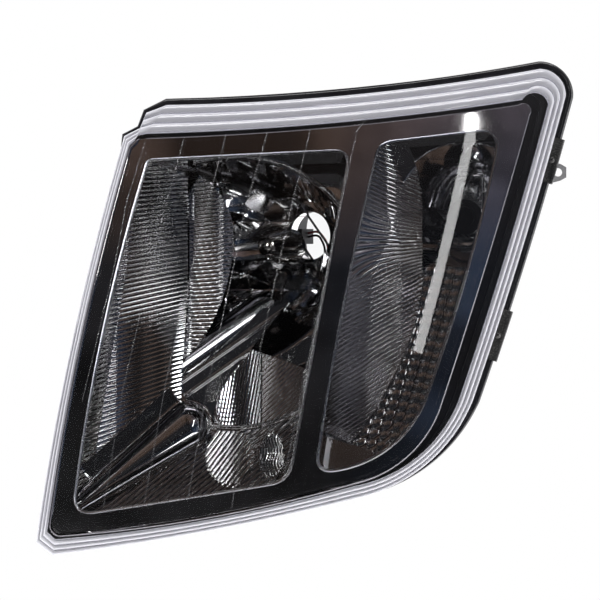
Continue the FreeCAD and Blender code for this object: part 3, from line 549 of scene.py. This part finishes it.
def build_optic_lines():
    """Fine moulded lines across the lens, each a shallow rounded ridge."""
    width = 0.32
    points, faces = [], []
    for line in OPTIC_LINES:
        places = []
        for a, b in zip(line, line[1:]):
            for k in range(12):
                places.append((a[0] + (b[0] - a[0]) * k / 12, a[1] + (b[1] - a[1]) * k / 12))
        places.append(line[-1])
        first = len(points)
        for x, z in places:
            y = float(ball_y(x, z, LENS_RISE))
            points += [(x - width, y, z), (x, y - 0.22, z), (x + width, y, z)]
        for k in range(len(places) - 1):
            start = first + 3 * k
            faces += [(start, start + 1, start + 4, start + 3), (start + 1, start + 2, start + 5, start + 4)]
    make("lens_optic_lines", points, faces, OPTIC_LINE, slot="lens_clear", smooth=80)


build_optic_lines()


LIP_PROFILE = ((-1.5, -9.2), (0, -10.2), (4.6, -10.4), (5.8, -9.4), (6.2, -7.5), (6.2, 13), (5.6, 14.6),
               (4, 15))


def build_lip():
    """The housing's lip beyond the lens edge, with its edges rounded."""
    outline = lamp_outline(0)
    normals = outward(outline)
    loops = []
    for out, back in LIP_PROFILE:
        loop = []
        for (x, z), (nx, nz) in zip(outline, normals):
            # the lip stands out along the top and the outer side, and fades out elsewhere
            share = min(1, max(0, 0.55 + 0.7 * nx + 0.75 * nz))
            shown = min(out, out * share + 0.3)
            loop.append((x + nx * shown, back, z + nz * shown))
        loops.append(loop)
    points, faces = loft(loops)
    make("housing_lip", points, faces, GLOSS_BLACK, slot="housing_black", smooth=45)


build_lip()


def build_clip(name, low, high):
    """A spring clip bent over the lip: front leg, back, rear leg, and a rounded latch nose on its front."""
    run = [(x, z) for x, z in dense_lip() if x > 90 and low <= z <= high]
    normals = outward_open(run)
    outer = [(-3.5, -12.4), (5.5, -12.6), (8.2, -11.2), (8.8, -8), (8.8, 15), (7.6, 16.8), (-2, 17)]
    inner = [(-2, 15.6), (6.8, 15.4), (7.4, 14), (7.4, -8), (6.8, -10.4), (5, -11.3), (-3.5, -11.2)]
    section = outer + inner
    width = len(section)
    points = []
    for (x, z), (nx, nz) in zip(run, normals):
        points += [(x + nx * out, back, z + nz * out) for out, back in section]
    faces = loop_faces(len(run), width)
    faces.append(tuple(range(width)))
    faces.append(tuple(range(len(points) - width, len(points)))[::-1])
    middle = len(run) // 2
    (x, z), (nx, nz) = run[middle], normals[middle]
    nose = ((0.3, -3.2), (1.6, -2.9), (2.6, -1.8), (3.0, -0.4), (3.0, 1.2))
    latch = revolve(nose, (x + nx * 2.5, -12.2, z + nz * 2.5), ((1, 0, 0), (0, 0, 1), (0, 1, 0)), count=20)
    start = len(points)
    points += latch[0]
    faces += [tuple(i + start for i in face) for face in latch[1]]
    make(name + "_bent", points, faces, CLIP, slot="clip_black", smooth=35, replaces=(name,))


def dense_lip():
    outline = lamp_outline(0)
    result = []
    for (ax, az), (bx, bz) in zip(outline, outline[1:] + outline[:1]):
        pieces = max(1, int(math.hypot(bx - ax, bz - az)))
        result += [(ax + (bx - ax) * k / pieces, az + (bz - az) * k / pieces) for k in range(pieces)]
    return result


def outward_open(run):
    """Normals of an open run of outline that goes down the lamp's outer side."""
    normals = []
    for i in range(len(run)):
        a, b = Vector(run[max(0, i - 1)]), Vector(run[min(len(run) - 1, i + 1)])
        along = (b - a).normalized()
        side = 1 if along[1] < 0 else -1
        normals.append((-along[1] * side, along[0] * side))
    return normals


build_clip("upper_lens_clip", 92, 128)
build_clip("lower_lens_clip", -46, -6)


# ---------------------------------------------------------------- trim panel

def build_trim():
    """The dark chrome panel with its two windows, their lips in a lighter chrome that paints a highlight on
    them, and the walls behind them.
    """
    outer = round_corners(lamp_outline(1), 8)
    main, signal = main_window(), signal_window()
    fill_face(outer, [main, signal], lambda x, z: ball_y(x, z, TRIM_RISE), 12, "trim_panel", TRIM,
              slot="dark_chrome", replaces=("bezel",))
    rim = [(0, 0), (0.8, 0.9), (1.0, 2.0), (1.0, 40)]
    sweep("trim_rim", outer, rim, TRIM, closed=False, slot="dark_chrome")
    lip = [(0.4, 0.1), (0.2, -0.5), (-0.5, -0.9), (-1.3, -0.7), (-1.9, 0.2), (-2.0, 1.5), (-1.0, 30)]
    for name, window in (("main_window_lip", main), ("signal_window_lip", signal)):
        sweep(name, window, lip, TRIM_LIP_HIGHLIGHT, closed=False, stop=-WINDOW_BACK, slot="dark_chrome")


build_trim()


# ---------------------------------------------------------------- main reflector

def bowl_y(x, z):
    """The headlamp bowl: a paraboloid about the bulb's axis."""
    focal = 28
    u, w = x - SEAT[0], z - SEAT[2]
    a = math.sin(LOOK) ** 2
    b = 4 * focal * math.cos(LOOK) - 2 * u * math.sin(LOOK) * math.cos(LOOK)
    c = u ** 2 * math.cos(LOOK) ** 2 + w ** 2 + 4 * focal * u * math.sin(LOOK)
    root = np.maximum(b ** 2 - 4 * a * c, 0)
    return SEAT[1] + (-b + np.sqrt(root)) / (2 * a)


def ribs(t, pitch, height):
    """Half-round flutes across a coordinate."""
    share = np.mod(t / pitch, 1.0)
    return -height * (1 - (2 * share - 1) ** 2)


def turn_coordinate(x, z, angle):
    """Distance across stripes that run at an angle above the horizontal."""
    a = math.radians(angle)
    return -x * math.sin(a) + z * math.cos(a)


CREASE_X = -90
BOWL_CENTRE = (-51, 6)
BOWL_RIM = 106
FACE_GAP = 0.4
D_BLOCK = trace((-79, 98), [((-58, 76), (-52, 45)), ((-60, 2), (-78, -34)), ((-86, -47), (-93, -58)),
                            ((-87, 20), (-88, 82))])
BLADE = [(-117, 108), (-104, 108), (-80, 103), (-78, 97), (-84, 94)]
PLANE_TOP = trace((-93, -50), [((-70, -24), (-53, -6)), ((-42, 0), (-22, 2)), ((-20, -4), (-31, -8)),
                               ((-57, -33), (-93, -60))])
PLANE_LOW = trace((-93, -60), [((-57, -33), (-31, -8)), ((-20, -4), (-9, -2)), ((-32, -31), (-57, -63)),
                               ((-65, -80), (-68, -97)), ((-84, -86), (-93, -60))])
BAR_FOOT = (-174, -161)
BAR_HEAD = (-88, -98)
BANDS = ((93, 130, -0.12), (62, 93, 0.16), (35, 62, -0.2), (8, 35, 0.22), (-60, 8, -0.06))


def facets(x, z, count, tilt, seed):
    """Irregular flat facets round scattered centres, each tilted its own way."""
    draw = np.random.default_rng(seed)
    centres = draw.uniform((-95, -110), (45, 125), (count, 2))
    tilts = draw.uniform(-tilt, tilt, (count, 2))
    nearest = np.full(x.shape, 1e9)
    result = np.zeros(x.shape)
    for (cx, cz), (tx, tz) in zip(centres, tilts):
        away = (x - cx) ** 2 + ((z - cz) * 1.5) ** 2
        closer = away < nearest
        nearest = np.where(closer, away, nearest)
        result = np.where(closer, tx * (x - cx) + tz * (z - cz), result)
    return result


def main_limit(x, z):
    """The CAD reflector's own front, which the detailed face stays in front of."""
    return np.where(x < CREASE_X - 2, 20, np.maximum(20, bowl_y(x, z))) - FACE_GAP


def main_depth(x, z):
    y = np.maximum(bowl_y(x, z), 22) - 6
    for low, high, tilt in BANDS:
        y = np.where((z >= low) & (z < high), y + tilt * (z - (low + high) / 2), y)
    y = np.where(z > 62, y + facets(x, z, 150, 0.26, 4), y + facets(x, z, 60, 0.14, 7))
    # second block: two lobes bulging to the right of the crease
    second = inside(D_BLOCK, x, z)
    lobe = 17 + 0.010 * (x + 72) ** 2 - 0.00055 * (z - 25) ** 2
    flute = z - 0.10 * (x + 80) - 0.0009 * (z - 40) * (x + 80)
    y = np.where(second, lobe + ribs(flute, 3.1, 0.62), y)
    # diagonal planes that fall from the bulb to the lower inner corner
    high_plane = inside(PLANE_TOP, x, z)
    across = 0.82 * (z + 35) - 0.57 * (x + 57)
    y = np.where(high_plane, 16 - 0.022 * (across + 3) ** 2 - 0.05 * (x + 57), y)
    low_plane = inside(PLANE_LOW, x, z)
    ridge = 0.7 * (x + 57) - (z + 48)
    crests = np.maximum(0, 1 - ((ridge - 4) / 2.0) ** 2) + np.maximum(0, 1 - ((ridge + 9) / 2.0) ** 2)
    y = np.where(low_plane, 17 - 0.07 * (z + 40) + 0.02 * (x + 60) - 1.3 * crests, y)
    # fluted wedge and smooth sector inside the lower rim
    centre_x, centre_z = BOWL_CENTRE
    away = np.hypot(x - centre_x, z - centre_z)
    below_arc = z < -40 - 0.38 * (x + 33)
    wedge = below_arc & (away < BOWL_RIM) & ~low_plane & ~high_plane & ~second & (x > -90)
    fan = 13 - 0.006 * (x + 8) ** 2 + 0.05 * (z + 80) + ribs(turn_coordinate(x, z, 42), 2.7, 0.62)
    smooth = 12 + 0.008 * (x + 42) ** 2 + 0.04 * (z + 80) + ribs(turn_coordinate(x, z, 80), 2.4, 0.22)
    y = np.where(wedge, np.where(x > -30, fan, smooth), y)
    # below the bowl's lower rim: fluted lobes, and the corner at the outer side
    low = (away >= BOWL_RIM) & (z < -60)
    base = 14 + 0.08 * (z + 120) + 0.05 * (x + 60)
    lobe_one = np.hypot((x + 55) / 19, (z + 122) / 22) < 1
    lobe_two = np.hypot((x + 22) / 10, (z + 121) / 17) < 1
    y = np.where(low, base + ribs(turn_coordinate(x, z, 38), 3.3, 0.8), y)
    y = np.where(low & lobe_one, 10 + 0.006 * (x + 55) ** 2 + ribs(turn_coordinate(x, z, 52), 3.2, 0.8), y)
    wave = 1.2 * np.sin(z / 3.0)
    y = np.where(low & lobe_two, 8 + 0.02 * (x + 22) ** 2 + ribs(x + wave, 2.4, 0.45), y)
    # the bowl's round rim, and the flat plate outside it
    plate = (away > BOWL_RIM + 2.4) & (z > 20) & (x > CREASE_X)
    y = np.where(plate, 6 + 0.02 * (x - 20) + 0.19 * (z - 90), y)
    rim = (away > BOWL_RIM - 2) & (away <= BOWL_RIM + 2.4) & (x > -84)
    beads = sum(np.maximum(0, 1 - ((away - BOWL_RIM - step) / 1.3) ** 2) for step in (-1.3, 1.5))
    y = np.where(rim, 5 - 0.9 * beads + 9 * (z < 20), y)
    # inner block with rising flutes, folded near its inner side, down to the bar
    ax, az = BAR_FOOT
    bx, bz = BAR_HEAD
    length = math.hypot(bx - ax, bz - az)
    along = ((x - ax) * (bx - ax) + (z - az) * (bz - az)) / length
    off = ((x - ax) * -(bz - az) + (z - az) * (bx - ax)) / length
    crease = CREASE_X + 2.5 + 0.075 * np.clip(z - 5, -70, 0)
    left = (x < crease) & ~second & (off > 0)
    fold = -150 + 0.17 * (z + 60)
    slope = 17 - 0.0045 * (x + 124) ** 2 - 0.10 * np.maximum(fold - x, 0) * (z < 60)
    slope = np.minimum(slope - 0.09 * np.maximum(z - 20, 0), 18.5)
    rising = 0.05 + 0.0016 * (100 - z)
    beside = np.clip((fold - x) / 8, 0, 1)
    depth = 0.72 - 0.42 * np.clip((20 - z) / 60, 0, 1) * (1 - beside)
    y = np.where(left, slope + ribs(z - rising * (x + 90), 3.35, depth), y)
    y = np.where(inside(BLADE, x, z), 4 - 0.62 * (z - 104) - 0.1 * (x + 90), y)
    # the bar across the lower inner corner
    half = 9 + 11 * np.clip(along / length, 0, 1)
    past = np.maximum(along - length, 0)
    reach = np.sqrt(off ** 2 + past ** 2) / half
    bar = 13 - 16 * np.sqrt(np.clip(1 - reach ** 2, 0, 1))
    y = np.where((reach < 1) & (along > -20), np.minimum(bar, 19), y)
    flank = (off >= half * 0.98) & (off < half + 12) & (along > 20) & (along < length + 6)
    y = np.where(flank, 13 - 0.12 * (off - half), y)
    y = np.minimum(y, main_limit(x, z))
    across, up = seat_offsets(x, z, y)
    keep = (np.hypot(across, up) > SEAT_HOLE) | (y < 80)
    return y, keep


def build_shield():
    """The glare shield: a round nosed cone ahead of the bulb seat, open towards it."""
    along = (math.sin(LOOK), math.cos(LOOK), 0)
    across = (math.cos(LOOK), -math.sin(LOOK), 0)
    base = (SEAT[0], SEAT[1], SEAT[2] - 8.5)
    nose = ((0.4, -71.5), (3.4, -71.2), (5.2, -70), (5.7, -68.8), (6.4, -69.9), (7.6, -69.6), (8.3, -68.2))
    cone = ((8.3, -68.2), (9.4, -64), (11.6, -54), (12.9, -45), (13.6, -36), (13.6, -34.5), (12.9, -34.5),
            (12.2, -44), (10.8, -54))
    axes = (across, (0, 0, 1), along)
    points, faces = revolve(nose, base, axes, count=64)
    # the nose takes the darkened chrome: painted shade
    make("glare_shield_nose", points, faces, NOSE_SHADE, body="reflector", slot="shield_chrome", smooth=45)
    points, faces = revolve(cone, base, axes, count=64)
    make("glare_shield_cone", points, faces, SHIELD, body="reflector", slot="shield_chrome", smooth=45,
         replaces=("glare_shield",))


build_shield()


def seat_offsets(x, z, y):
    """Distances from the bulb's axis, across and up."""
    u, v, w = x - SEAT[0], y - SEAT[1], z - SEAT[2]
    return u * math.cos(LOOK) - v * math.sin(LOOK), w


height_field("main_reflector_face", main_window(4), main_depth, (0.6, 0.5), CHROME, body="reflector",
             slot="reflector_chrome", smooth=35)


# ---------------------------------------------------------------- indicator reflector

def signal_depth(x, z):
    focal = 20
    r2 = (x - SIGNAL_SEAT[0]) ** 2 + (z - SIGNAL_SEAT[2]) ** 2
    bowl = np.maximum(SIGNAL_SEAT[1] - r2 / (4 * focal), 8)
    limit = np.maximum(bowl, 12) - FACE_GAP
    bands = np.mod((z - 6) / 13.0, 1.0) - 0.5
    y = bowl - 3 + 2.4 * bands * (z > 40)
    # inner wall: rising flutes below, turning over to falling ones at the top
    edge = 96 - 0.0045 * (z - 70) ** 2 * (z > 70) - 0.0028 * (z - 30) ** 2 * (z < 30)
    rise = np.interp(z, (-60, 20, 70), (0.62, 0.5, -0.45))
    flute = z - rise * (x - 70)
    wall = 10.5 - 0.0035 * (x - 96) ** 2 + 0.05 * np.maximum(z - 40, 0) + ribs(flute, 3.5, 0.8)
    y = np.where(x < edge, wall, y)
    # pillow optics down the outer side
    cell = 8.4
    px = np.mod((x - 0.28 * z) / cell, 1.0) * 2 - 1
    pz = np.mod((z + 0.15 * x) / cell, 1.0) * 2 - 1
    pillow = 10.8 - 1.5 * np.sqrt(np.clip(2.0 - px ** 2 - pz ** 2, 0, 2))
    grid = (z < 26) & (x > edge + 1.5)
    y = np.where(grid, pillow, y)
    foot = (x < 40) & (z < -118) | (z < -108 - 0.42 * (x - 30))
    y = np.where(foot, 8 + 0.1 * (z + 120) - 0.05 * (x - 30), y)
    y = np.minimum(y, limit)
    keep = np.sqrt(r2) > SIGNAL_HOLE - 0.5
    return y, keep


height_field("indicator_reflector_face", signal_window(3.5), signal_depth, (0.6, 0.5), CHROME,
             slot="reflector_chrome", smooth=35)


# ---------------------------------------------------------------- studio

def studio():
    scene = bpy.context.scene
    camera_data = bpy.data.cameras.new("camera")
    camera_data.lens = 461
    camera_data.sensor_width = 36
    camera_data.clip_end = 30
    camera = bpy.data.objects.new("camera", camera_data)
    camera.location = at(0, -6000, 0)
    camera.rotation_euler = (math.radians(90), 0, 0)
    scene.collection.objects.link(camera)
    scene.camera = camera
    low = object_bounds()[0]
    # pale floor under the lamp; it ends close in front, so the lens does not mirror it
    level = low.z - 0.25
    mesh = bpy.data.meshes.new("floor")
    corners = [(-4, -0.6, level), (4, -0.6, level), (4, 1.2, level), (-4, 1.2, level)]
    mesh.from_pydata(corners, [], [(0, 1, 2, 3)])
    floor = bpy.data.objects.new("floor", mesh)
    scene.collection.objects.link(floor)
    pale, nodes, links, shader = new_material("pale_floor")
    shader.inputs["Base Color"].default_value = (0.9, 0.9, 0.9, 1)
    shader.inputs["Roughness"].default_value = 1.0
    shader.inputs["Emission Color"].default_value = (1, 1, 1, 1)
    shader.inputs["Emission Strength"].default_value = 0.95
    floor.data.materials.append(pale)
    floor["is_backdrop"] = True
    world = bpy.data.worlds.new("studio")
    scene.world = world
    world.use_nodes = True
    nodes, links = world.node_tree.nodes, world.node_tree.links
    background = nodes["Background"]
    place = nodes.new("ShaderNodeTexCoord")
    split = nodes.new("ShaderNodeSeparateXYZ")
    links.new(place.outputs["Generated"], split.inputs[0])
    front = nodes.new("ShaderNodeValToRGB")
    stops = front.color_ramp
    stops.elements[0].position = 0.0
    stops.elements[0].color = (0.016, 0.016, 0.018, 1)
    stops.elements[1].position = 0.5
    stops.elements[1].color = (0.85, 0.85, 0.87, 1)
    for position, grey in ((0.03, 0.012), (0.1, 0.03), (0.19, 0.2), (0.32, 0.7)):
        stop = stops.elements.new(position)
        stop.color = (grey, grey, grey * 1.04, 1)
    half = nodes.new("ShaderNodeMapRange")
    half.inputs["From Min"].default_value = -1
    half.inputs["From Max"].default_value = 1
    links.new(split.outputs["Y"], half.inputs["Value"])
    links.new(half.outputs["Result"], front.inputs["Fac"])
    # a warm dark ceiling and a cool dark side in front of the lamp
    room = front.outputs["Color"]
    ceiling = ("Z", 0.05, 0.32, (0.07, 0.042, 0.028, 1))
    outer_side = ("X", 0.14, 0.42, (0.006, 0.018, 0.045, 1))
    for axis, start, end, colour in (ceiling, outer_side):
        share = nodes.new("ShaderNodeMapRange")
        share.inputs["From Min"].default_value = start
        share.inputs["From Max"].default_value = end
        links.new(split.outputs[axis], share.inputs["Value"])
        tint = nodes.new("ShaderNodeMix")
        tint.data_type = "RGBA"
        tint.blend_type = "ADD"
        links.new(share.outputs["Result"], tint.inputs["Factor"])
        links.new(room, tint.inputs["A"])
        tint.inputs["B"].default_value = colour
        room = tint.outputs["Result"]
    clutter = nodes.new("ShaderNodeTexNoise")
    clutter.inputs["Scale"].default_value = 5.5
    clutter.inputs["Detail"].default_value = 2.0
    links.new(place.outputs["Generated"], clutter.inputs["Vector"])
    patches = ramp(nodes, links, clutter.outputs["Fac"], 0.25, 1.35, 0.42, 0.56)
    shaded = nodes.new("ShaderNodeMix")
    shaded.data_type = "RGBA"
    shaded.blend_type = "MULTIPLY"
    shaded.inputs["Factor"].default_value = 0.8
    links.new(room, shaded.inputs["A"])
    links.new(patches, shaded.inputs["B"])
    # seen directly, the room is plain white
    path = nodes.new("ShaderNodeLightPath")
    seen = nodes.new("ShaderNodeMix")
    seen.data_type = "RGBA"
    seen.inputs["B"].default_value = (1, 1, 1, 1)
    links.new(path.outputs["Is Camera Ray"], seen.inputs["Factor"])
    links.new(shaded.outputs["Result"], seen.inputs["A"])
    links.new(seen.outputs["Result"], background.inputs["Color"])
    background.inputs["Strength"].default_value = 1.0

    def lamp(name, size, place, target, power, lean=0):
        data = bpy.data.lights.new(name, "AREA")
        data.shape = "RECTANGLE"
        data.size, data.size_y = size
        data.energy = power
        item = bpy.data.objects.new(name, data)
        item.location = place
        aim = (Vector(target) - Vector(place)).to_track_quat("-Z", "Y")
        item.rotation_euler = (aim @ Quaternion((0, 0, 1), math.radians(lean))).to_euler()
        scene.collection.objects.link(item)

    middle = at(0, 0, 0)
    lamp("key_left", (1.0, 1.6), middle + Vector((-2.2, -1.6, 0.9)), middle, 60)
    lamp("top", (2.0, 0.8), middle + Vector((0.2, -0.9, 2.2)), middle, 50)
    lamp("right", (0.6, 1.6), middle + Vector((2.3, -0.8, 0.2)), middle, 35)
    lamp("front_left", (0.5, 1.1), middle + Vector((-1.9, -2.4, 0.7)), middle, 16)
    lamp("strip", (0.055, 1.36), middle + Vector((1.15, -3.0, 0.36)), at(120, -60, 50), 2.2, lean=-15)
    scene.view_settings.view_transform = "Standard"


studio()
